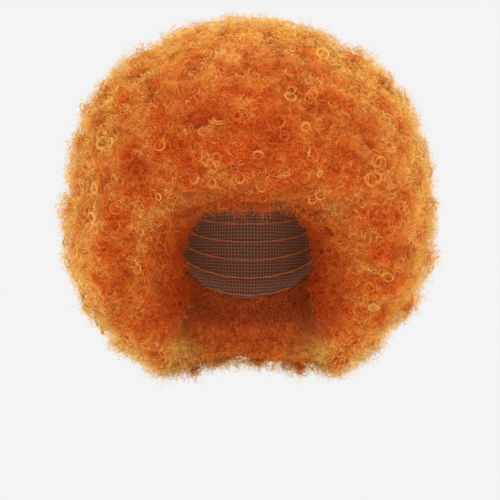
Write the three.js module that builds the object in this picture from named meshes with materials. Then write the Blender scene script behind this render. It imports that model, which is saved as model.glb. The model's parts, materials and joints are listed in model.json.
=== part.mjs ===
// Kinky curly wig: a full round head of tight curls on a net cap.
// Rows of hair (wefts) are sewn round the cap, one above the other from the nape to the crown,
// and each row is a band of rounded locks fused to its backing. The lowest row is in two pieces:
// a fringe over the forehead, and a nape weft that runs down past the cheeks and round the neck.
//
// Millimetres, +Z up, the wig's front towards -Y. The origin is the centre of the head that wears it,
// at the height of the eyes. Every point is given by its radius from there, its elevation above the
// horizontal and its azimuth, which is 0 in front, 90 at the ear and 180 behind.

import * as THREE from "three";
import { mergeVertices } from "three/addons/utils/BufferGeometryUtils.js";

// The head form that the cap fits, as half-axes of an ellipsoid, and the way left clear round the neck.
const head = { halfWidth: 74, front: 95, back: 100, above: 115, below: 110 };
const neckRadius = 60;

// The net cap, with the columns of its mesh. Its rows are the wefts', so that each weft lies flat on it.
const cap = { thickness: 1.5, columns: 36 };

// Clearances: hair to cap and neck, one weft to the next, fringe to nape weft.
const seatGap = 0.4;
const weftGap = { root: 0.8, tip: 2 };
const fringeGap = 0.8;

// Wefts from the hem to the crown, and the locks that they carry: how far a lock stands out from the form, how
// far the creases between locks go in, how uneven the locks are, and the steps of their mesh.
// The wefts nearest the crown are shorter, so they have fewer locks.
const weftCount = 11;
const lock = { height: 3, crease: 13, spread: 8, columns: 3, rows: 3 };
const locksRound = { full: 24, nearCrown: 12, crown: 6 };
const nearCrownFrom = 9;
const fringeLocks = 6;

// Steps down the hair that lines the neck below the cap, and the distance within which two points are one.
const liningSteps = 4;
const mergeDistance = 0.001;

// The share of the way from the hem to the crown over which the hair rounds out from the hem to its full form.
const hemRound = 0.3;

// The outer form of the hair: its radius in front, at the side and behind, for each elevation.
const outline = [
  { elevation: -60, front: 150, side: 166, back: 168 },
  { elevation: -45, front: 158, side: 168, back: 174 },
  { elevation: -30, front: 163, side: 171, back: 182 },
  { elevation: -15, front: 166, side: 179, back: 191 },
  { elevation: 0, front: 169, side: 186, back: 200 },
  { elevation: 15, front: 177, side: 191, back: 207 },
  { elevation: 30, front: 189, side: 202, back: 213 },
  { elevation: 45, front: 203, side: 217, back: 219 },
  { elevation: 60, front: 215, side: 219, back: 221 },
  { elevation: 75, front: 222, side: 224, back: 223 },
  { elevation: 90, front: 223, side: 223, back: 223 },
];

// The hem on one side of the head, from the middle of the fringe to the middle of the nape: the azimuth,
// the elevations of the cap's edge and of the hair's lower edge, and the depth of the hair at that edge.
const hem = [
  { place: "fringe middle", azimuth: 0, capEdge: 35, hairEdge: 13, depth: 16 },
  { place: "brow", azimuth: 23, capEdge: 33, hairEdge: 12, depth: 15 },
  { place: "temple", azimuth: 41, capEdge: 26, hairEdge: 5, depth: 14 },
  { place: "eye corner", azimuth: 49, capEdge: 19, hairEdge: -10, depth: 14 },
  { place: "cheek", azimuth: 56, capEdge: 12, hairEdge: -27, depth: 15 },
  { place: "jaw", azimuth: 63, capEdge: 6, hairEdge: -44, depth: 18 },
  { place: "neck", azimuth: 74, capEdge: 0, hairEdge: -57, depth: 27 },
  { place: "below the ear", azimuth: 93, capEdge: -4, hairEdge: -61, depth: 34 },
  { place: "behind the ear", azimuth: 119, capEdge: -16, hairEdge: -61, depth: 36 },
  { place: "nape side", azimuth: 149, capEdge: -30, hairEdge: -60, depth: 38 },
  { place: "nape middle", azimuth: 180, capEdge: -34, hairEdge: -59, depth: 38 },
];

const netCap = { color: 0x4a2a18, roughness: 0.9, metalness: 0 };
const hair = { color: 0xc9622a, roughness: 0.75, metalness: 0 };

const { degToRad, radToDeg, lerp, smoothstep, seededRandom } = THREE.MathUtils;

// A smooth curve through one column of a table, level at both ends, where the two halves of the wig meet.
function curveThrough(table, positions, column) {
  const values = table.map((row) => row[column]);
  const curve = new THREE.CubicInterpolant(positions, values, 1, [0]);
  curve.settings = { endingStart: THREE.ZeroSlopeEnding, endingEnd: THREE.ZeroSlopeEnding };
  return (at) => curve.evaluate(at)[0];
}

const elevations = outline.map((row) => row.elevation);
const frontRadius = curveThrough(outline, elevations, "front");
const sideRadius = curveThrough(outline, elevations, "side");
const backRadius = curveThrough(outline, elevations, "back");

const places = hem.map((row, index) => index / (hem.length - 1));
const hemAzimuth = curveThrough(hem, places, "azimuth");
const capEdge = curveThrough(hem, places, "capEdge");
const hairEdge = curveThrough(hem, places, "hairEdge");
const hemDepth = curveThrough(hem, places, "depth");

function pointAt(radius, elevation, azimuth) {
  const up = degToRad(elevation);
  const round = degToRad(azimuth);
  const level = radius * Math.cos(up);
  return new THREE.Vector3(level * Math.sin(round), -level * Math.cos(round), radius * Math.sin(up));
}

// The radius of an oval that is `ahead` deep in front or behind and `aside` wide.
function oval(azimuth, aside, ahead) {
  const round = degToRad(azimuth);
  return 1 / Math.hypot(Math.sin(round) / aside, Math.cos(round) / ahead);
}

const isFront = (azimuth) => Math.cos(degToRad(azimuth)) > 0;

function headRadius(elevation, azimuth) {
  const up = degToRad(elevation);
  const level = oval(azimuth, head.halfWidth, isFront(azimuth) ? head.front : head.back);
  return 1 / Math.hypot(Math.cos(up) / level, Math.sin(up) / (up > 0 ? head.above : head.below));
}

// The innermost radius that hair below the cap may reach: clear of the head, and of the way for the neck.
function innerRadius(elevation, azimuth) {
  const overHead = headRadius(elevation, azimuth) + cap.thickness + seatGap;
  return Math.max(overHead, neckRadius / Math.cos(degToRad(elevation)));
}

function outlineRadius(elevation, azimuth) {
  const ahead = isFront(azimuth) ? frontRadius(elevation) : backRadius(elevation);
  return oval(azimuth, sideRadius(elevation), ahead);
}

// A place round the wig, 0 in front, 1 behind and 2 in front again, at a rise of 0 at the hem to 1 at the crown.
// Places follow the hem at the bottom, and are spread evenly round the crown at the top.
function stationAt(round, rise) {
  const place = round <= 1 ? round : 2 - round;
  const azimuth = lerp(hemAzimuth(place), 180 * place, smoothstep(rise, 0, 1));
  return { place, azimuth: round <= 1 ? azimuth : -azimuth };
}

// A point on the cap, or `above` it.
function capPoint(round, rise, above) {
  const { place, azimuth } = stationAt(round, rise);
  const elevation = lerp(capEdge(place), 90, rise);
  return pointAt(headRadius(elevation, azimuth) + above, elevation, azimuth);
}

// A point on the hair's outer form, without its locks. It leaves the hem outwards, turns up through a quarter
// of an oval that is `bend` degrees high, and goes on up the outline to the crown at the same pace.
function formPoint(round, rise) {
  const { place, azimuth } = stationAt(round, rise);
  const edge = hairEdge(place);
  const bend = (90 - edge) / (1 + ((Math.PI / 2) * (1 - hemRound)) / hemRound);
  const turn = (Math.PI / 2) * Math.min(rise / hemRound, 1);
  const past = Math.max(rise - hemRound, 0) / (1 - hemRound);
  const elevation = edge + bend * (1 - Math.cos(turn)) + (90 - edge - bend) * past;
  const hemRadius = innerRadius(edge, azimuth) + hemDepth(place);
  return pointAt(lerp(hemRadius, outlineRadius(elevation, azimuth), Math.sin(turn)), elevation, azimuth);
}

// The same point moved out by `relief` square to the form, and up along it by `lift`.
// The form's slope is taken over a small step each way.
function lockPoint(round, rise, relief, lift) {
  const step = 0.01;
  const up = formPoint(round, Math.min(rise + step, 1)).sub(formPoint(round, Math.max(rise - step, 0)));
  const across = formPoint((round + step) % 2, rise).sub(formPoint((round + 2 - step) % 2, rise));
  const out = rise < 1 ? across.cross(up).normalize() : new THREE.Vector3(0, 0, 1);
  return formPoint(round, rise).addScaledVector(out, relief).addScaledVector(up.normalize(), lift);
}

// How far a lock stands out from the form, for a point across and along it, each from -1 to 1.
// Each point of the mesh has a number of its own, which sets how uneven the lock is there.
function lockRelief(number, across, along) {
  const dome = (1 - across * across) * (1 - along * along);
  const uneven = lock.spread * (seededRandom(number) - 0.5);
  return (lock.height + lock.crease + uneven) * Math.sqrt(dome) - lock.crease;
}

// Joins a ring of closed outlines, all with the same number of points, into one closed body.
// The closing edge is cut along the other diagonal, so that a weft's underside fits the top of the one below.
// An open run of outlines is closed by its two end faces. Points that coincide at the crown become one.
function bodyFrom(outlines, isRing) {
  const corners = [];
  const face = (...points) => points.forEach((point) => corners.push(point.x, point.y, point.z));
  const spans = isRing ? outlines.length : outlines.length - 1;
  for (let i = 0; i < spans; i += 1) {
    const here = outlines[i];
    const next = outlines[(i + 1) % outlines.length];
    here.forEach((point, j) => {
      const k = (j + 1) % here.length;
      if (k > 0) {
        face(point, next[j], next[k]);
        face(point, next[k], here[k]);
      } else {
        face(point, next[j], here[k]);
        face(here[k], next[j], next[k]);
      }
    });
  }
  if (!isRing) {
    const flat = outlines[0].map((point) => new THREE.Vector2(Math.hypot(point.x, point.y), point.z));
    const ends = THREE.ShapeUtils.triangulateShape(flat, []);
    const turned = THREE.ShapeUtils.isClockWise(flat);
    ends.forEach(([a, b, c]) => {
      const first = outlines[0];
      const last = outlines[outlines.length - 1];
      face(...(turned ? [first[a], first[c], first[b]] : [first[a], first[b], first[c]]));
      face(...(turned ? [last[a], last[b], last[c]] : [last[a], last[c], last[b]]));
    });
  }
  const loose = new THREE.BufferGeometry();
  loose.setAttribute("position", new THREE.Float32BufferAttribute(corners, 3));
  const merged = mergeVertices(loose, mergeDistance);
  const index = merged.getIndex().array;
  const kept = [];
  for (let i = 0; i < index.length; i += 3) {
    const [a, b, c] = [index[i], index[i + 1], index[i + 2]];
    if (a !== b && b !== c && c !== a) {
      kept.push(a, b, c);
    }
  }
  merged.setIndex(kept);
  merged.computeVertexNormals();
  return merged;
}

function named(name, geometry, finish) {
  const mesh = new THREE.Mesh(geometry, new THREE.MeshStandardMaterial(finish));
  mesh.name = name;
  return mesh;
}

// The net cap: the head form's surface and the same surface a wall further out, joined along the edge.
function capGeometry() {
  const outlines = [];
  for (let i = 0; i < cap.columns; i += 1) {
    const inside = [];
    const outside = [];
    for (let j = 0; j <= weftCount; j += 1) {
      inside.push(capPoint((2 * i) / cap.columns, j / weftCount, 0));
      outside.push(capPoint((2 * i) / cap.columns, j / weftCount, cap.thickness));
    }
    outlines.push([...outside, ...inside.reverse()]);
  }
  return bodyFrom(outlines, true);
}

// The columns of a weft, from one to another of the columns round the whole row, with the place of each across
// its lock. Each row's locks are set one column on from those of the row below. Ends stand back by `inset`.
function weftColumns({ row, locks, first, last, inset }) {
  const all = locks * lock.columns;
  const isRing = last - first === all;
  const columns = [];
  for (let i = first; i <= (isRing ? last - 1 : last); i += 1) {
    const step = (i + (isRing ? row % lock.columns : 0) + all) % all;
    const isEnd = !isRing && (i === first || i === last);
    const back = isEnd ? Math.sign(first + last - 2 * i) * inset : 0;
    columns.push({
      index: step,
      round: (2 + (2 * i) / all + back) % 2,
      across: ((step % lock.columns) / lock.columns) * 2 - 1,
    });
  }
  return { columns, isRing };
}

// Half the gap between two wefts: up at a weft's bottom and down at its top, none at the hem and the crown.
function clearance(gap, rise, bottom, top) {
  if (rise === bottom && bottom > 0) {
    return gap / 2;
  }
  return rise === top && top < 1 ? -gap / 2 : 0;
}

// One weft between two rises: its locks, its backing on the cap and, at the hem, the hair that lines the neck.
function weftGeometry({ row, locks, first, last, inset }) {
  const bottom = (Math.max(row, 1) - 1) / weftCount;
  const top = Math.max(row, 1) / weftCount;
  const { columns, isRing } = weftColumns({ row, locks, first, last, inset });
  const outlines = columns.map(({ index, round, across }) => {
    const points = [];
    for (let j = 0; j <= lock.rows; j += 1) {
      const rise = j < lock.rows ? lerp(bottom, top, j / lock.rows) : top;
      const number = (row * lock.rows + j) * locks * lock.columns + index;
      const relief = lockRelief(number, across, (j / lock.rows) * 2 - 1);
      points.push(lockPoint(round, rise, relief, clearance(weftGap.tip, rise, bottom, top)));
    }
    [top, bottom].forEach((rise) => {
      const lift = clearance(weftGap.root, rise, bottom, top) / head.above;
      points.push(capPoint(round, rise + lift, cap.thickness + seatGap));
    });
    // At the hem the lining goes on down from the cap's edge to the height of the lowest lock.
    if (bottom === 0) {
      const { place, azimuth } = stationAt(round, 0);
      const lowest = radToDeg(Math.asin(points[0].z / points[0].length()));
      for (let j = 1; j <= liningSteps; j += 1) {
        const elevation = lerp(capEdge(place), lowest, j / liningSteps);
        points.push(pointAt(innerRadius(elevation, azimuth), elevation, azimuth));
      }
    }
    return points;
  });
  return bodyFrom(outlines, isRing);
}

const wig = new THREE.Group();
wig.add(named("cap", capGeometry(), netCap));

const hemColumns = locksRound.full * lock.columns;
const fringeHalf = (fringeLocks * lock.columns) / 2;
const inset = radToDeg(fringeGap / 2 / head.front) / 180;
const hemRows = [
  { name: "fringe", row: 0, first: -fringeHalf, last: fringeHalf },
  { name: "nape_weft", row: 1, first: fringeHalf, last: hemColumns - fringeHalf },
];
hemRows.forEach(({ name, row, first, last }) => {
  wig.add(named(name, weftGeometry({ row, locks: locksRound.full, first, last, inset }), hair));
});
for (let row = 2; row <= weftCount; row += 1) {
  const isCrown = row === weftCount;
  const locks = isCrown ? locksRound.crown : locksRound[row < nearCrownFrom ? "full" : "nearCrown"];
  const geometry = weftGeometry({ row, locks, first: 0, last: locks * lock.columns, inset: 0 });
  wig.add(named(isCrown ? "crown_weft" : `weft_${row}`, geometry, hair));
}

export default wig;
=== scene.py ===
import json
import math

import bpy
import numpy as np
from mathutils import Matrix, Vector, noise
from mathutils.bvhtree import BVHTree

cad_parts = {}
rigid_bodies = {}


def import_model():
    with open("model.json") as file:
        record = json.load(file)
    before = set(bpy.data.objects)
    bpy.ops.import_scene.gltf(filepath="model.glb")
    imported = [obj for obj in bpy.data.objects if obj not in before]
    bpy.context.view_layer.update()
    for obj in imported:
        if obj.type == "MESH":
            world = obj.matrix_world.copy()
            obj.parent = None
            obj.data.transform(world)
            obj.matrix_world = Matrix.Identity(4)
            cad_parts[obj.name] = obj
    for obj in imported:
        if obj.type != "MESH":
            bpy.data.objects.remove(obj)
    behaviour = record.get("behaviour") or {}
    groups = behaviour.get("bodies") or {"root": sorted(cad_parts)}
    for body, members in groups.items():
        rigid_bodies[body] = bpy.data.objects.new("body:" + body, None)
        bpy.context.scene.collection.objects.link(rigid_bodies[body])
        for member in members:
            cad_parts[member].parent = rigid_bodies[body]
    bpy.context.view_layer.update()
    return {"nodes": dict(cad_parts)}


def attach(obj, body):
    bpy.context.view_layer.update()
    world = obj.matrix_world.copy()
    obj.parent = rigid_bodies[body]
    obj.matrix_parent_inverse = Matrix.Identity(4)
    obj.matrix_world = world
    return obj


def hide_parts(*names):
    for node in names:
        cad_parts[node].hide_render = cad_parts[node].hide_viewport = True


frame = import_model()
bpy.ops.object.select_all(action="DESELECT")

mm = 0.001
weld = 0.01 * mm  # joins the loose triangles of a CAD mesh
smoothBelow = math.radians(50)  # edges sharper than this stay crisp
scene = bpy.context.scene
wefts = [name for name in frame["nodes"] if name != "cap"]


def linear(hexColour):
    parts = [int(hexColour[i:i + 2], 16) / 255 for i in (1, 3, 5)]
    return tuple(c / 12.92 if c <= 0.04045 else ((c + 0.055) / 1.055) ** 2.4 for c in parts) + (1.0,)


def newMaterial(name):
    material = bpy.data.materials.new(name)
    material.use_nodes = True
    material.node_tree.nodes.clear()
    return material


def addNode(material, kind, settings=None, sockets=None, links=None, stops=None):
    node = material.node_tree.nodes.new(kind)
    for key, value in (settings or {}).items():
        setattr(node, key, value)
    for key, value in (sockets or {}).items():
        node.inputs[key].default_value = value
    for key, output in (links or {}).items():
        material.node_tree.links.new(output, node.inputs[key])
    for index, (place, colour) in enumerate(stops or ()):  # the stops of a colour ramp
        ramp = node.color_ramp.elements
        element = ramp[index] if index < 2 else ramp.new(place)
        element.position = place
        element.color = linear(colour)
    return node


def select(*objects):
    bpy.ops.object.select_all(action="DESELECT")
    for item in objects:
        item.select_set(True)
    bpy.context.view_layer.objects.active = objects[0]


def finishPiece(piece, node):
    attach(piece, "root")
    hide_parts(node)


# Studio: a round white sweep that glows as a lit background does, five softboxes and the camera.
# Sizes are in metres and lamp powers in watts.

studio = dict(
    paper="#f3f3f3", paperBase="#303030", glow=0.97,
    radius=6.0, sides=96, floorDrop=1.0, wallTop=3.4, bend=1.6, bendSteps=10, air=0.9,
    cameraDistance=2.0, widthInView=0.5, sensor=36, centreX=0.001, centreZ=-0.007,
    softboxes=dict(
        front=dict(size=1.8, power=8, place=(-0.3, -2.4, 1.5)),
        top=dict(size=1.6, power=36, place=(0.0, 0.1, 2.0)),
        left=dict(size=1.4, power=27, place=(-1.9, 0.4, -0.35)),
        right=dict(size=1.4, power=32, place=(1.9, 0.7, -0.2)),
        low=dict(size=1.0, power=25, place=(0.1, -1.9, -0.4)),
    ),
)


def sweepPaper():
    material = newMaterial("studio paper, matt and lit")  # an even pale ground with no edge
    shader = addNode(material, "ShaderNodeBsdfPrincipled", sockets={
        "Base Color": linear(studio["paperBase"]), "Roughness": 1.0, "Specular IOR Level": 0.0,
        "Emission Color": linear(studio["paper"]), "Emission Strength": studio["glow"]})
    addNode(material, "ShaderNodeOutputMaterial", links={"Surface": shader.outputs[0]})
    return material


def buildStudio():
    depth = studio["floorDrop"] + studio["wallTop"]
    bpy.ops.mesh.primitive_cylinder_add(
        vertices=studio["sides"], radius=studio["radius"], depth=depth,
        location=(0, 0, depth / 2 - studio["floorDrop"]))
    sweep = bpy.context.object
    sweep.name = "studio_sweep"
    bpy.ops.object.transform_apply(location=True, rotation=True, scale=True)
    bpy.ops.object.mode_set(mode="EDIT")
    bpy.ops.mesh.select_mode(type="FACE")
    bpy.ops.mesh.select_all(action="DESELECT")
    bpy.ops.object.mode_set(mode="OBJECT")
    for face in sweep.data.polygons:
        face.select = face.normal.z > 0.9  # the lid comes off
    bpy.ops.object.mode_set(mode="EDIT")
    bpy.ops.mesh.delete(type="FACE")
    bpy.ops.mesh.select_all(action="SELECT")
    bpy.ops.mesh.flip_normals()
    bpy.ops.mesh.select_mode(type="EDGE")
    bpy.ops.mesh.select_all(action="DESELECT")
    bpy.ops.object.mode_set(mode="OBJECT")
    floorRim = 0.01 - studio["floorDrop"]
    for edge in sweep.data.edges:
        edge.select = all(sweep.data.vertices[v].co.z < floorRim for v in edge.vertices)
    bpy.ops.object.mode_set(mode="EDIT")
    bpy.ops.mesh.bevel(offset=studio["bend"], segments=studio["bendSteps"], affect="EDGES")
    bpy.ops.object.mode_set(mode="OBJECT")
    bpy.ops.object.shade_smooth()
    sweep.data.materials.append(sweepPaper())

    for name, box in studio["softboxes"].items():
        bpy.ops.object.light_add(type="AREA", location=box["place"])
        lamp = bpy.context.object
        lamp.name = name + "_softbox"
        lamp.data.shape = "DISK"
        lamp.data.size = box["size"]
        lamp.data.energy = box["power"]
        lamp.visible_camera = False
        lamp.rotation_euler = (-lamp.location).to_track_quat("-Z", "Y").to_euler()

    world = bpy.data.worlds.new("studio air")
    world.use_nodes = True
    air = world.node_tree.nodes["Background"].inputs
    air["Color"].default_value = (1, 1, 1, 1)
    air["Strength"].default_value = studio["air"]
    scene.world = world

    bpy.ops.object.camera_add(
        location=(studio["centreX"], -studio["cameraDistance"], studio["centreZ"]),
        rotation=(math.pi / 2, 0, 0))
    camera = bpy.context.object
    camera.data.sensor_width = studio["sensor"]
    camera.data.lens = studio["sensor"] * studio["cameraDistance"] / studio["widthInView"]
    scene.camera = camera
    scene.view_settings.view_transform = "Standard"
    print("studio and camera set")


buildStudio()


# The form of the whole mass of hair: the wefts joined, the creases between them closed and smoothed.
# Sizes are in mm.

form = dict(
    voxel=5.5, smoothing=30, settling=0.5, swell=3.5, capClear=6.0,
    swells=(42, 3.5), tufts=(16, 3.2),  # how wide and how high
    outwardSquash=(1, 1, 0.6), fade=0.5, liningBelow=-0.1, liningClumps=0.2,
)
# painted shade: hair near the hollow and the edge of the face opening is coloured darker and redder, as
# little light reaches it
hollow = dict(
    halfAxes=(74, 97.5, 112.5), centre=(0, 2.5, 2.5),
    mouthRadius=60, hemLight=-82, shade=(2.0, 38.0),
)
faceOpening = dict(halfWidth=66, halfHeight=71, middle=-50, squareness=4)


def unit(vectors):
    return vectors / np.maximum(np.linalg.norm(vectors, axis=-1, keepdims=True), 1e-9)


def readMesh(mesh):
    points = np.empty(len(mesh.vertices) * 3)
    mesh.vertices.foreach_get("co", points)
    faces = np.array([face.vertices[:] for face in mesh.polygons if len(face.vertices) == 4])
    return points.reshape(-1, 3), faces


def pointNormals(points, faces):
    corners = points[faces]
    across = np.cross(corners[:, 2] - corners[:, 0], corners[:, 3] - corners[:, 1])
    normals = np.zeros_like(points)
    for corner in range(4):
        np.add.at(normals, faces[:, corner], across)
    return unit(normals)


def surfaceOf(names):
    points, faces, owner = [], [], []
    for index, name in enumerate(names):
        mesh = frame["nodes"][name].data
        start = len(points)
        points += [v.co.copy() for v in mesh.vertices]
        faces += [[start + v for v in face.vertices] for face in mesh.polygons]
        owner += [index] * len(mesh.polygons)
    return BVHTree.FromPolygons(points, faces), owner


def buildForm():
    copies = []
    for name in wefts:
        copy = bpy.data.objects.new(name + "_form", frame["nodes"][name].data.copy())
        scene.collection.objects.link(copy)
        copies.append(copy)
    select(*copies)
    bpy.ops.object.join()
    whole = bpy.context.object
    bpy.ops.object.mode_set(mode="EDIT")
    bpy.ops.mesh.select_all(action="SELECT")
    bpy.ops.mesh.remove_doubles(threshold=weld)
    bpy.ops.object.mode_set(mode="OBJECT")
    closing = whole.modifiers.new("closing", "REMESH")
    closing.mode = "VOXEL"
    closing.voxel_size = form["voxel"] * mm
    bpy.ops.object.modifier_apply(modifier="closing")
    settling = whole.modifiers.new("settling", "SMOOTH")
    settling.factor = form["settling"]
    settling.iterations = form["smoothing"]
    bpy.ops.object.modifier_apply(modifier="settling")
    # only the one large skin stays, without crumbs from the lock tips
    bpy.ops.object.mode_set(mode="EDIT")
    bpy.ops.mesh.select_mode(type="VERT")
    bpy.ops.mesh.select_all(action="DESELECT")
    bpy.ops.object.mode_set(mode="OBJECT")
    max(whole.data.vertices, key=lambda v: v.co.z).select = True
    bpy.ops.object.mode_set(mode="EDIT")
    bpy.ops.mesh.select_linked()
    bpy.ops.mesh.select_all(action="INVERT")
    bpy.ops.mesh.delete(type="VERT")
    bpy.ops.object.mode_set(mode="OBJECT")
    return whole


def clumpHeight(point):
    # broad swells, and round tufts of curls with valleys between them
    swellWide, swellHigh = form["swells"]
    tuftWide, tuftHigh = form["tufts"]
    fromTuft = noise.voronoi(Vector(point) / (tuftWide * mm))[0][0]
    return swellHigh * noise.noise(Vector(point) / (swellWide * mm)) + tuftHigh * (1 - 2 * fromTuft)


def lightNearHollow(points):
    # how much light reaches, for painted shade: 0 where hair lies close round the hollow and little light
    # comes, 1 well out in the mass
    away = points / mm - np.array(hollow["centre"])
    share = np.linalg.norm(away / np.array(hollow["halfAxes"]), axis=-1)
    distance = np.linalg.norm(away, axis=-1) * (1 - 1 / share)
    fromMouth = np.hypot(away[..., 0], away[..., 1]) - hollow["mouthRadius"]
    fromMouth = fromMouth + np.clip(hollow["hemLight"] - away[..., 2], 0, None)  # light comes in at the hem
    distance = np.where(away[..., 2] < 0, np.minimum(distance, fromMouth), distance)
    # in front, the edge of the face opening is as dim as the hollow
    aside, above = away[..., 0], away[..., 2] - faceOpening["middle"]
    square = faceOpening["squareness"]
    share = (np.abs(aside / faceOpening["halfWidth"]) ** square
             + np.abs(above / faceOpening["halfHeight"]) ** square) ** (1 / square)
    fromOpening = np.hypot(aside, above) * (1 - 1 / np.maximum(share, 0.01))
    fromOpening = fromOpening + np.clip(hollow["hemLight"] - away[..., 2], 0, None)
    distance = np.where(away[..., 1] < 0, np.minimum(distance, fromOpening), distance)
    near, far = hollow["shade"]
    return np.clip((distance - near) / (far - near), 0, 1)


wholeForm = buildForm()
formPoints, formFaces = readMesh(wholeForm.data)
formNormals = pointNormals(formPoints, formFaces)
bpy.data.objects.remove(wholeForm)
outward = (formNormals * unit(formPoints * form["outwardSquash"])).sum(axis=1)  # below 0 on the lining
outerShare = form["fade"] + outward
formPoints += formNormals * (form["swell"] * mm * np.clip(outward, 0, 1))[:, None]
clumps = np.array([clumpHeight(p) for p in formPoints]) * mm
clumps *= np.clip(outerShare, form["liningClumps"], 1)
clumpNormals = pointNormals(formPoints + formNormals * clumps[:, None], formFaces)
faceCentres = formPoints[formFaces].mean(axis=1)
faceNormals = unit(formNormals[formFaces].sum(axis=1))

weftSurface, weftOwner = surfaceOf(wefts)
capSurface, _ = surfaceOf(["cap"])
faceWeft = np.array([weftOwner[weftSurface.find_nearest(Vector(c))[2]] for c in faceCentres])
# faces that lie on the cap carry no hair
capReach = form["capClear"] * mm
onCap = [capSurface.ray_cast(Vector(centre), Vector(normal), capReach)[0]
         for centre, normal in zip(faceCentres, faceNormals)]
faceOpen = np.array([hit is None for hit in onCap])
faceLining = outward[formFaces].mean(axis=1) < form["liningBelow"]
print("hair form made:", len(formFaces), "faces,", int((faceOpen & faceLining).sum()), "in the lining")


# Hair fibre: heat-crimped synthetic fibre, fine and slightly see-through. Deep in the mass it looks
# red-orange, and light that comes through a single fibre from behind is golden, so the loose edge glows.
# The map OFBake holds the tint of a curl across and, along it, how far out in the mass it lies and how much
# light reaches it, so that painted shade, darker and redder deep in the mass and near the hollow, follows
# each strand.

fibre = dict(
    deepTint=((0.0, "#b83a10"), (0.3, "#861e06"), (0.65, "#c0460e"), (0.9, "#dea04c")),
    paleTint=((0.0, "#f28440"), (0.3, "#ba3a0c"), (0.65, "#d8641a"), (0.9, "#e8b66a")),
    through=((0.1, "#a83a0c"), (0.45, "#de8430"), (0.75, "#f8cc70")), throughShare=0.5,
    roughness=0.5, ior=1.53, shine=0.1,
    sheen=0.15, sheenTint="#f4b450", sheenRoughness=0.35,
    edgeSheenTint="#e5ae55", endBlend=0.52, endFrom=(0.1, 0.42), endShare=0.85,
)


def hairFibre():
    material = newMaterial("crimped synthetic hair fibre")
    uv = addNode(material, "ShaderNodeUVMap", settings={"uv_map": "OFBake"})
    parts = addNode(material, "ShaderNodeSeparateXYZ", links={"Vector": uv.outputs["UV"]})
    deep, pale = [
        addNode(material, "ShaderNodeValToRGB", links={"Fac": parts.outputs["Y"]}, stops=fibre[tint])
        for tint in ("deepTint", "paleTint")]
    tint = addNode(material, "ShaderNodeMixRGB", links={
        "Fac": parts.outputs["X"], "Color1": deep.outputs["Color"], "Color2": pale.outputs["Color"]})
    # both sides of a ribbon are lit as the outside of the mass is
    sides = addNode(material, "ShaderNodeNewGeometry")
    turned = addNode(  # 1 on a ribbon's front and -1 on its back
        material, "ShaderNodeMath", settings={"operation": "MULTIPLY_ADD"}, sockets={1: -2.0, 2: 1.0},
        links={0: sides.outputs["Backfacing"]})
    outer = addNode(material, "ShaderNodeVectorMath", settings={"operation": "SCALE"}, links={
        "Vector": sides.outputs["Normal"], "Scale": turned.outputs[0]})
    front = addNode(material, "ShaderNodeBsdfPrincipled", sockets={
        "Roughness": fibre["roughness"], "IOR": fibre["ior"], "Specular IOR Level": fibre["shine"],
        "Sheen Weight": fibre["sheen"], "Sheen Tint": linear(fibre["sheenTint"]),
        "Sheen Roughness": fibre["sheenRoughness"]}, links={
        "Base Color": tint.outputs["Color"], "Normal": outer.outputs["Vector"]})
    glow = addNode(material, "ShaderNodeValToRGB", links={"Fac": parts.outputs["Y"]}, stops=fibre["through"])
    behind = addNode(material, "ShaderNodeBsdfTranslucent", links={
        "Color": glow.outputs["Color"], "Normal": sides.outputs["True Normal"]})
    both = addNode(material, "ShaderNodeMixShader", sockets={0: fibre["throughShare"]}, links={
        1: front.outputs[0], 2: behind.outputs[0]})
    # painted sheen: seen along the surface, the loose ends turn golden, less so the deeper they lie and the
    # less light reaches them
    grazing = addNode(material, "ShaderNodeLayerWeight", sockets={"Blend": fibre["endBlend"]}, links={
        "Normal": outer.outputs["Vector"]})
    loose = addNode(material, "ShaderNodeMath", settings={"operation": "MULTIPLY"}, links={
        0: grazing.outputs["Facing"], 1: parts.outputs["Y"]})
    edgeSheen = addNode(material, "ShaderNodeBsdfDiffuse", sockets={"Color": linear(fibre["edgeSheenTint"])}, links={
        "Normal": outer.outputs["Vector"]})
    endsFrom, endsFull = fibre["endFrom"]
    share = addNode(material, "ShaderNodeMapRange", sockets={
        "From Min": endsFrom, "From Max": endsFull, "To Max": fibre["endShare"]}, links={
        "Value": loose.outputs[0]})
    whole = addNode(material, "ShaderNodeMixShader", links={
        0: share.outputs["Result"], 1: both.outputs[0], 2: edgeSheen.outputs[0]})
    addNode(material, "ShaderNodeOutputMaterial", links={"Surface": whole.outputs[0]})
    return material


# Packed hair: the felted mass under the loose curls. It is matt and mottled like wool, at the scale of its
# crimp, with painted shade, darker near the hollow and in the valleys, and a painted golden sheen seen along
# the surface. Sizes are in mm.

packed = dict(
    depth=6.0, liningDepth=5.0, thickness=3.0, thinnest=8.0, thinShare=0.4,
    inset=1.0, reach=60, evening=4, eveningMost=3,
    hemBelow=-70, hemBehind=15, hemSectors=72, hemNotch=9.0, notchReach=2, edgeRings=2,
    crimp=2.6, crimpDetail=3.0, crimpTwist=2.5, bump=0.8, bumpDepth=1.0, roughness=0.75, shine=0.05,
    colours=((0.36, "#7c1e06"), (0.5, "#aa3a0c"), (0.64, "#d0621a")),
    shadedColours=((0.38, "#5e1804"), (0.5, "#98340e"), (0.62, "#cc602a")),
    valleyLight=0.85, valleyHeight=22, valleyLeast=0.5,  # painted shade: valleys between tufts are coloured darker
    edgeSheenTint="#d48c38", endBlend=0.58,
)


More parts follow.
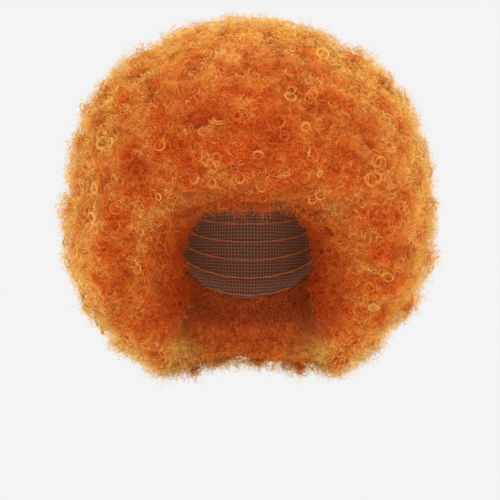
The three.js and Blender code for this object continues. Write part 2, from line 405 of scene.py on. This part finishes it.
def packedHair():
    material = newMaterial("packed hair, felted")
    place = addNode(material, "ShaderNodeTexCoord")
    crimp = addNode(material, "ShaderNodeTexNoise", sockets={
        "Scale": 1 / (packed["crimp"] * mm), "Detail": packed["crimpDetail"],
        "Distortion": packed["crimpTwist"]},
        links={"Vector": place.outputs["Object"]})
    outer, shadedRamp = [
        addNode(material, "ShaderNodeValToRGB", links={"Fac": crimp.outputs["Fac"]}, stops=packed[colours])
        for colours in ("colours", "shadedColours")]
    lightReach = addNode(material, "ShaderNodeAttribute", settings={"attribute_name": "lightReach"})
    shaded = addNode(material, "ShaderNodeMixRGB", links={
        "Fac": lightReach.outputs["Fac"], "Color1": shadedRamp.outputs["Color"], "Color2": outer.outputs["Color"]})
    bump = addNode(material, "ShaderNodeBump", sockets={
        "Strength": packed["bump"], "Distance": packed["bumpDepth"] * mm}, links={
        "Height": crimp.outputs["Fac"]})
    shader = addNode(material, "ShaderNodeBsdfPrincipled", sockets={
        "Roughness": packed["roughness"], "Specular IOR Level": packed["shine"]},
        links={"Base Color": shaded.outputs["Color"], "Normal": bump.outputs["Normal"]})
    # painted golden sheen: seen along the surface the felt turns golden where light reaches it
    grazing = addNode(material, "ShaderNodeLayerWeight", sockets={"Blend": packed["endBlend"]})
    loose = addNode(material, "ShaderNodeMath", settings={"operation": "MULTIPLY"}, links={
        0: grazing.outputs["Facing"], 1: lightReach.outputs["Fac"]})
    edgeSheen = addNode(material, "ShaderNodeBsdfDiffuse", sockets={"Color": linear(packed["edgeSheenTint"])})
    whole = addNode(material, "ShaderNodeMixShader", links={
        0: loose.outputs[0], 1: shader.outputs[0], 2: edgeSheen.outputs[0]})
    addNode(material, "ShaderNodeOutputMaterial", links={"Surface": whole.outputs[0]})
    return material


def depthUnderCurls():
    # less deep on the lining, and never past the middle of a thin edge
    skin = BVHTree.FromPolygons([Vector(p) for p in formPoints], formFaces.tolist())
    share = np.clip(outerShare, 0, 1)
    wanted = (packed["liningDepth"] + (packed["depth"] - packed["liningDepth"]) * share) * mm
    inset, reach = packed["inset"] * mm, packed["reach"] * mm
    farOff = 1.0  # metres, where nothing lies behind
    across = np.array([
        skin.ray_cast(Vector(point - normal * inset), Vector(-normal), reach)[3] or farOff
        for point, normal in zip(formPoints, formNormals)])
    even = across.copy()
    for _ in range(packed["evening"]):  # so that the border of the bed at the hem runs evenly
        around = even[formFaces].mean(axis=1)
        shares = np.zeros((2, len(even)))
        for corner in range(4):
            np.add.at(shares[0], formFaces[:, corner], around)
            np.add.at(shares[1], formFaces[:, corner], 1)
        even = shares[0] / np.maximum(shares[1], 1)
    mostDeep = np.minimum(wanted, packed["thinShare"] * across)
    return mostDeep, np.minimum(across + packed["eveningMost"] * mm, even)


def packedFaces():
    # reaches a little way under the cap's edge, and leaves out the thin tips of the hem
    reached = faceOpen.copy()
    for _ in range(packed["edgeRings"]):
        touched = np.zeros(len(formPoints), dtype=bool)
        touched[formFaces[reached]] = True
        reached = touched[formFaces].any(axis=1)
    # below the lowest notch of the hem near it, the bed ends and only loose hair hangs
    low = (faceCentres[:, 2] < packed["hemBelow"] * mm) & (faceCentres[:, 1] > packed["hemBehind"] * mm)
    sectors = packed["hemSectors"]
    around = np.arctan2(faceCentres[:, 0], faceCentres[:, 1]) / math.tau + 0.5
    sector = (around * sectors).astype(int)
    edge = np.array([faceCentres[low & (sector == s), 2].min(initial=0) for s in range(sectors)])
    turns = range(-packed["notchReach"], packed["notchReach"] + 1)
    near = np.stack([np.roll(edge, turn) for turn in turns])
    notch = np.where(near < packed["hemBelow"] * mm, near, -1).max(axis=0)
    hem = np.minimum(notch, edge + packed["hemNotch"] * mm)
    above = ~low | (faceCentres[:, 2] > hem[np.minimum(sector, sectors - 1)])
    return reached & above & (massAcross[formFaces].min(axis=1) > packed["thinnest"] * mm)


packedDepth, massAcross = depthUnderCurls()
facePacked = packedFaces()
print("packed bed laid out:", int(facePacked.sum()), "faces")


def buildPacked(name, index, material):
    mine = formFaces[facePacked & (faceWeft == index)]
    used, faces = np.unique(mine, return_inverse=True)
    points = formPoints[used] + formNormals[used] * (clumps[used] - packedDepth[used])[:, None]
    mesh = bpy.data.meshes.new(name + "_packed")
    mesh.from_pydata(points.tolist(), [], faces.reshape(mine.shape).tolist())
    # painted shade kept in an attribute: darker near the hollow and in the valleys between tufts
    lightReach = mesh.attributes.new("lightReach", "FLOAT", "POINT")
    valley = packed["valleyLight"] + clumps[used] / (packed["valleyHeight"] * mm)
    valley = np.clip(valley, packed["valleyLeast"], 1)
    lightReach.data.foreach_set("value", (lightNearHollow(points) * valley).astype(np.float32))
    piece = bpy.data.objects.new(name + "_packed", mesh)
    scene.collection.objects.link(piece)
    select(piece)
    wall = piece.modifiers.new("wall", "SOLIDIFY")
    wall.thickness = packed["thickness"] * mm
    wall.offset = -1
    bpy.ops.object.modifier_apply(modifier="wall")
    bpy.ops.object.shade_smooth_by_angle(angle=smoothBelow)
    mesh.materials.append(material)
    return piece


# Loose hair: each strand is a coil that springs out of the mass, drawn as a thin ribbon. Sizes are in mm.
# A kind grows out of the mass, down from the hem and fringe, ahead of the fringe or inward at the temples.

strands = dict(
    wool=dict(total=19000, steps=7, radius=(1.6, 4.0), turns=(0.5, 0.9), pitch=(3, 7), tilt=1.3,
              start=(-6.5, 0), width=(0.5, 0.85), wobble=1.5),
    curls=dict(total=2600, steps=16, radius=(1.8, 3.4), turns=(1.4, 2.2), pitch=(2.5, 4.5), tilt=1.0,
               start=(-5, 0.5), width=(0.32, 0.48), wobble=0.6),
    frizz=dict(total=24000, steps=8, radius=(1.2, 3.2), turns=(0.7, 1.3), pitch=(4, 9), tilt=0.9,
               start=(-4, 1.5), width=(0.2, 0.32), wobble=1.4),
    rings=dict(total=1200, bundle=5, steps=18, radius=(4.0, 6.4), turns=(1.0, 1.5), pitch=(0.5, 1.6),
               tilt=0.4, start=(-1.5, 2.5), width=(0.5, 0.75), wobble=0.4, paler=0.2, liningShare=0),
    flyaways=dict(total=4200, steps=11, radius=(1.6, 3.8), turns=(0.9, 1.6), pitch=(4, 7), tilt=0.8,
                  start=(-1, 3), width=(0.24, 0.34), wobble=1.2),
    hanging=dict(total=2400, steps=12, radius=(1.4, 3.0), turns=(1.0, 1.8), pitch=(5.5, 9.5), tilt=0.6,
                 start=(-6, 1), width=(0.32, 0.55), wobble=1.2, grows="down", lift=0.42),
    fringeRings=dict(total=140, bundle=4, steps=16, radius=(3.2, 5.2), turns=(1.0, 1.6), pitch=(0.6, 1.8),
                     tilt=0.5, start=(-3, 2), width=(0.45, 0.7), wobble=0.4, grows="ahead", paler=0.15,
                     lift=0.45),
    temples=dict(total=1500, bundle=3, steps=11, radius=(1.8, 3.8), turns=(1.0, 1.6), pitch=(6, 10),
                 tilt=0.7, start=(-3, 1), width=(0.4, 0.7), wobble=0.9, grows="inward", lift=0.38),
    frontRings=dict(total=500, bundle=10, steps=16, radius=(4.6, 6.6), turns=(1.2, 2.0), pitch=(1.0, 2.4),
                    tilt=0.4, start=(-2.5, 1), width=(0.35, 0.6), wobble=0.6, paler=0.06, liningShare=0,
                    frontFacing=0.6),
)
spread = dict(
    seed=41, liningShare=0.9, liningRise=0.5, hemShare=4.0, hemLength=1.8, hemRoot=5.0,
    tiltSpread=0.6, bundleSize=0.5, bundleStart=0.4, coilEnd=0.75, pace=(4, 14), twist=1.2,
    taper=0.75, taperPower=4, softness=0.86, deepest=-10.5, outermost=10.0, hollowLeast=0.12,
    tint=0.5, tintSpread=0.22, tintLimits=(0.02, 0.98), outLimits=(0.01, 0.99),
)
chance = np.random.default_rng(spread["seed"])


def between(limits, size):
    return chance.uniform(limits[0], limits[1], size)


# Where hair hangs free: round the lower edge of the fringe and at the temples, towards the opening, and
# down from the hem. Places are in mm.

edges = dict(
    fringeFront=-60, fringeLowest=-35, fringeFacing=0.35, fringeShare=2.0,
    templeFront=-25, templeLowest=-75, templeTop=25, templeAside=84,
    hemBelow=-85, hemFacing=0.4, lean=0.4, lit=1.5,
)


def hangingFaces():
    x, y, z = faceCentres.T / mm
    inward = unit(np.stack([-x, 0 * y, faceOpening["middle"] - z], axis=-1))
    facing = (faceNormals * inward).sum(axis=1)
    fringe = (y < edges["fringeFront"]) & (z > edges["fringeLowest"]) & (facing > edges["fringeFacing"])
    fringe &= faceNormals[:, 1] < edges["fringeFacing"]
    hem = (z < edges["hemBelow"]) & (faceNormals[:, 2] < -edges["hemFacing"])
    temple = (y < edges["templeFront"]) & (z > edges["templeLowest"]) & (z < edges["templeTop"])
    temple &= (facing > edges["fringeFacing"]) & (np.abs(x) < edges["templeAside"])
    down = np.where((fringe | temple)[:, None], inward, (0, 0, -1))
    return faceOpen & fringe, faceOpen & temple, faceOpen & hem, unit(down + edges["lean"] * faceNormals)


fringeEdge, templeEdge, hemEdge, hangingWay = hangingFaces()


def looseShare(liningShare):
    # thinner on the lining and closer at the thin hem
    inside = faceLining | fringeEdge | hemEdge
    return faceOpen * np.where(inside, liningShare, 1) * np.where(facePacked, 1, spread["hemShare"])


def scatter(total, share):
    # places over the faces, by area
    corners = formPoints[formFaces]
    across = np.cross(corners[:, 2] - corners[:, 0], corners[:, 3] - corners[:, 1])
    area = np.linalg.norm(across, axis=1) * share
    chosen = chance.choice(len(formFaces), size=total, p=area / area.sum())
    a, b = chance.random((2, total, 1))
    weights = np.stack([(1 - a) * (1 - b), a * (1 - b), a * b, (1 - a) * b], axis=1)
    corner = formFaces[chosen]
    return dict(
        point=(formPoints[corner] * weights).sum(axis=1),
        normal=unit((formNormals[corner] * weights).sum(axis=1)),
        shading=unit((clumpNormals[corner] * weights).sum(axis=1)),
        height=(clumps[corner] * weights[:, :, 0]).sum(axis=1),
        weft=faceWeft[chosen], lining=faceLining[chosen],
        hem=~facePacked[chosen], hanging=hangingWay[chosen])


def grow(kind):
    total, steps, bundle = kind["total"], kind["steps"], kind.get("bundle", 1)
    locks = total // bundle
    grows = kind.get("grows", "out")
    share = dict(
        out=looseShare(kind.get("liningShare", spread["liningShare"])),
        down=edges["fringeShare"] * fringeEdge + hemEdge,
        ahead=fringeEdge, inward=templeEdge)[grows]
    if "frontFacing" in kind:  # these are kept to the front
        share = share * (-faceNormals[:, 1] > kind["frontFacing"])
    root = {key: np.repeat(value, bundle, axis=0) for key, value in scatter(locks, share).items()}
    normal = root["normal"]
    outside = unit(root["point"] * (1, 1, 0))
    way = dict(out=normal, down=root["hanging"], ahead=outside, inward=root["hanging"])[grows]
    leaning = np.repeat(chance.normal(0, spread["tiltSpread"], (locks, 3)), bundle, axis=0)
    axis = unit(way + kind["tilt"] * leaning)
    axis[(axis * way).sum(axis=1) < 0] *= -1
    side = unit(np.cross(axis, chance.normal(0, 1, (total, 3))))
    other = np.cross(axis, side)
    t = np.linspace(0, 1, steps)
    turns = between(kind["turns"], total)
    # the strands of one bundle coil together, a little apart
    size = np.repeat(between(kind["radius"], locks), bundle)
    size = size + chance.normal(0, spread["bundleSize"], total) * (bundle > 1)
    start = np.repeat(between(kind["start"], locks), bundle)
    start = start + chance.normal(0, spread["bundleStart"], total) * (bundle > 1)
    coilEnd = spread["coilEnd"]  # a coil is narrower at both ends
    radius = size[:, None] * mm * (coilEnd + (1 - coilEnd) * np.sin(math.pi * t))
    rise = (turns * between(kind["pitch"], total) * mm)[:, None] * t
    if grows == "out":
        rise[root["lining"]] *= spread["liningRise"]
        rise[root["hem"]] *= spread["hemLength"]
    angle = math.tau * turns[:, None] * t + between((0, math.tau), total)[:, None]
    start = start - spread["hemRoot"] * root["hem"]
    base = root["point"] + normal * (root["height"] + start * mm)[:, None]
    path = (base[:, None] + axis[:, None] * rise[..., None]
            + side[:, None] * (radius * np.cos(angle))[..., None]
            + other[:, None] * (radius * np.sin(angle))[..., None])
    phase = between((0, math.tau), (total, 1, 3))
    pace = between(spread["pace"], (total, 1, 3))
    path += kind["wobble"] * mm * np.sin(pace * t[None, :, None] + phase)

    # the ribbon's outer face looks outwards, turned a little at random, and is shaded as the mass is
    tangent = unit(np.gradient(path, axis=1))
    flat = unit(np.cross(normal[:, None], tangent))
    facing = np.cross(tangent, flat)
    twist = between((-spread["twist"], spread["twist"]), total)[:, None, None]
    across = flat * np.cos(twist) + facing * np.sin(twist)
    own = facing * np.cos(twist) - flat * np.sin(twist)
    mass = root["shading"] if grows == "out" else unit(root["shading"] + edges["lit"] * outside)
    shading = unit(mass[:, None] * spread["softness"] + own * (1 - spread["softness"]))
    taper = 1 - spread["taper"] * np.abs(2 * t - 1) ** spread["taperPower"]
    half = 0.5 * between(kind["width"], total)[:, None] * mm * taper
    depth = ((path - root["point"][:, None]) * normal[:, None]).sum(axis=2) / mm
    # painted shade: the colour is darker and redder deeper in the mass and near the hollow, and the lift
    # paints hair hanging over an edge lighter
    lightReach = (depth - spread["deepest"]) / (spread["outermost"] - spread["deepest"])
    least = np.where(root["lining"], 0, spread["hollowLeast"])[:, None]
    lightReach = lightReach * (least + (1 - least) * lightNearHollow(path))
    lightReach = lightReach + kind.get("lift", 0) * (1 - lightReach)
    tint = chance.normal(spread["tint"] + kind.get("paler", 0), spread["tintSpread"], total)
    return dict(
        left=path - across * half[..., None], right=path + across * half[..., None], shading=shading,
        lightReach=np.clip(lightReach, *spread["outLimits"]), tint=np.clip(tint, *spread["tintLimits"]),
        weft=root["weft"])


def buildStrands(name, index, grown, material):
    points, faces, normals, maps = [], [], [], []
    start = 0
    for batch in grown:
        mine = batch["weft"] == index
        total, steps = int(mine.sum()), batch["left"].shape[1]
        points.append(np.stack([batch["left"][mine], batch["right"][mine]], axis=2).reshape(-1, 3))
        normals.append(np.repeat(batch["shading"][mine].reshape(-1, 3), 2, axis=0))
        corner = start + 2 * (np.arange(total)[:, None] * steps + np.arange(steps - 1))
        faces.append(np.stack([corner, corner + 2, corner + 3, corner + 1], axis=-1).reshape(-1, 4))
        tint = np.repeat(batch["tint"][mine], steps * 2)
        maps.append(np.stack([tint, np.repeat(batch["lightReach"][mine].ravel(), 2)], axis=-1))
        start += total * steps * 2
    points, faces, maps = np.concatenate(points), np.concatenate(faces), np.concatenate(maps)
    mesh = bpy.data.meshes.new(name + "_curls")
    mesh.from_pydata(points.tolist(), [], faces.tolist())
    layer = mesh.uv_layers.new(name="OFBake")
    layer.data.foreach_set("uv", maps[faces.ravel()].astype(np.float32).ravel())
    mesh.polygons.foreach_set("use_smooth", np.ones(len(faces), dtype=bool))
    mesh.normals_split_custom_set_from_vertices(np.concatenate(normals).tolist())
    mesh.materials.append(material)
    piece = bpy.data.objects.new(name + "_curls", mesh)
    scene.collection.objects.link(piece)
    return piece


def buildHair():
    fibreMaterial, packedMaterial = hairFibre(), packedHair()
    grown = [grow(kind) for kind in strands.values()]
    triangles = 0
    for index, name in enumerate(wefts):
        bed = buildPacked(name, index, packedMaterial)
        curls = buildStrands(name, index, grown, fibreMaterial)
        for piece in (bed, curls):
            finishPiece(piece, name)
            triangles += sum(len(face.vertices) - 2 for face in piece.data.polygons)
    print("hair grown:", triangles, "triangles")


buildHair()


# Cap: knitted stretch net with the sewn tracks of the wefts standing up on its inside. Sizes are in mm,
# the rows of tracks in degrees from the crown and their tilt in radians.

capNet = dict(
    mesh=3.2, around=90.0, uneven=0.2, thread="#7e4422", threadTo=0.08, gap="#33170b", gapFrom=0.2,
    relief=0.8, reliefDepth=0.5, roughness=0.85,
)
capTracks = dict(
    rows=range(14, 140, 11), tilt=0.35, columns=120, shortest=3, radius=1.1, roundness=1,
    stitch=1.5, stitchDetail=1.0, roughness=0.7, colours=((0.35, "#7c3a14"), (0.65, "#a85420")),
)


def knittedNet():
    material = newMaterial("knitted nylon net")  # matt threads round small holes painted dark with the shade seen through them, drawn coarser to show
    place = addNode(material, "ShaderNodeUVMap", settings={"uv_map": "knit"})
    holes = addNode(material, "ShaderNodeTexVoronoi", settings={
        "feature": "DISTANCE_TO_EDGE", "voronoi_dimensions": "2D"}, sockets={
        "Scale": 1.0, "Randomness": capNet["uneven"]}, links={"Vector": place.outputs["UV"]})
    colour = addNode(
        material, "ShaderNodeValToRGB", links={"Fac": holes.outputs["Distance"]},
        stops=((capNet["threadTo"], capNet["thread"]), (capNet["gapFrom"], capNet["gap"])))
    bump = addNode(material, "ShaderNodeBump", settings={"invert": True}, sockets={
        "Strength": capNet["relief"], "Distance": capNet["reliefDepth"] * mm}, links={
        "Height": holes.outputs["Distance"]})
    shader = addNode(material, "ShaderNodeBsdfPrincipled", sockets={"Roughness": capNet["roughness"]},
                     links={"Base Color": colour.outputs["Color"], "Normal": bump.outputs["Normal"]})
    addNode(material, "ShaderNodeOutputMaterial", links={"Surface": shader.outputs[0]})
    return material


def sewnTrack():
    material = newMaterial("sewn weft track, polyester thread")  # close stitches over hair roots
    place = addNode(material, "ShaderNodeTexCoord")
    stitches = addNode(material, "ShaderNodeTexNoise", sockets={
        "Scale": 1 / (capTracks["stitch"] * mm), "Detail": capTracks["stitchDetail"]}, links={
        "Vector": place.outputs["Object"]})
    colour = addNode(material, "ShaderNodeValToRGB", links={"Fac": stitches.outputs["Fac"]},
                     stops=capTracks["colours"])
    shader = addNode(material, "ShaderNodeBsdfPrincipled", sockets={"Roughness": capTracks["roughness"]},
                     links={"Base Color": colour.outputs["Color"]})
    addNode(material, "ShaderNodeOutputMaterial", links={"Surface": shader.outputs[0]})
    return material


def trackRuns():
    # rows round the crown, where a ray from the middle of the hollow meets the inside of the net
    leanCos, leanSin = math.cos(capTracks["tilt"]), math.sin(capTracks["tilt"])
    for polar in capTracks["rows"]:
        down = math.radians(polar)
        run = []
        for step in range(capTracks["columns"] + 1):
            turn = math.tau * step / capTracks["columns"] - math.pi / 2
            x, y, z = math.sin(down) * math.cos(turn), math.sin(down) * math.sin(turn), math.cos(down)
            ray = Vector((x, y * leanCos + z * leanSin, z * leanCos - y * leanSin))
            hit = capSurface.ray_cast(Vector((0, 0, 0)), ray)[0]
            if hit:
                run.append(hit)
                continue
            if len(run) >= capTracks["shortest"]:
                yield run
            run = []
        if len(run) >= capTracks["shortest"]:
            yield run


def knitMap(mesh):
    # the knit runs round the net in rows, and its map is counted in meshes, cut at the front
    layer = mesh.uv_layers.new(name="knit")
    for face in mesh.polygons:
        middle = math.atan2(face.center.x, face.center.y)
        for corner in face.loop_indices:
            x, y, z = mesh.vertices[mesh.loops[corner].vertex_index].co
            turn = math.atan2(x, y)
            turn -= math.tau * round((turn - middle) / math.tau)
            rise = math.atan2(z, math.hypot(x, y))
            layer.data[corner].uv = [angle * capNet["around"] / capNet["mesh"] for angle in (turn, rise)]


def buildCap():
    net = bpy.data.objects.new("cap_net", frame["nodes"]["cap"].data.copy())
    net.data.materials.clear()
    scene.collection.objects.link(net)
    select(net)
    bpy.ops.object.mode_set(mode="EDIT")
    bpy.ops.mesh.select_all(action="SELECT")
    bpy.ops.mesh.remove_doubles(threshold=weld)
    bpy.ops.object.mode_set(mode="OBJECT")
    bpy.ops.object.shade_smooth_by_angle(angle=smoothBelow)
    knitMap(net.data)
    net.data.materials.append(knittedNet())
    finishPiece(net, "cap")

    line = bpy.data.curves.new("cap_tracks", "CURVE")
    line.dimensions = "3D"
    line.bevel_depth = capTracks["radius"] * mm
    line.bevel_resolution = capTracks["roundness"]
    line.use_fill_caps = True
    for run in trackRuns():
        spline = line.splines.new("POLY")
        spline.points.add(len(run) - 1)
        for point, place in zip(spline.points, run):
            point.co = (*place, 1)
    tracks = bpy.data.objects.new("cap_tracks", line)
    scene.collection.objects.link(tracks)
    select(tracks)
    bpy.ops.object.convert(target="MESH")
    tracks = bpy.context.object
    bpy.ops.object.shade_smooth()
    tracks.data.materials.append(sewnTrack())
    finishPiece(tracks, "cap")
    print("cap made:", len(tracks.data.polygons), "faces in its tracks")


buildCap()
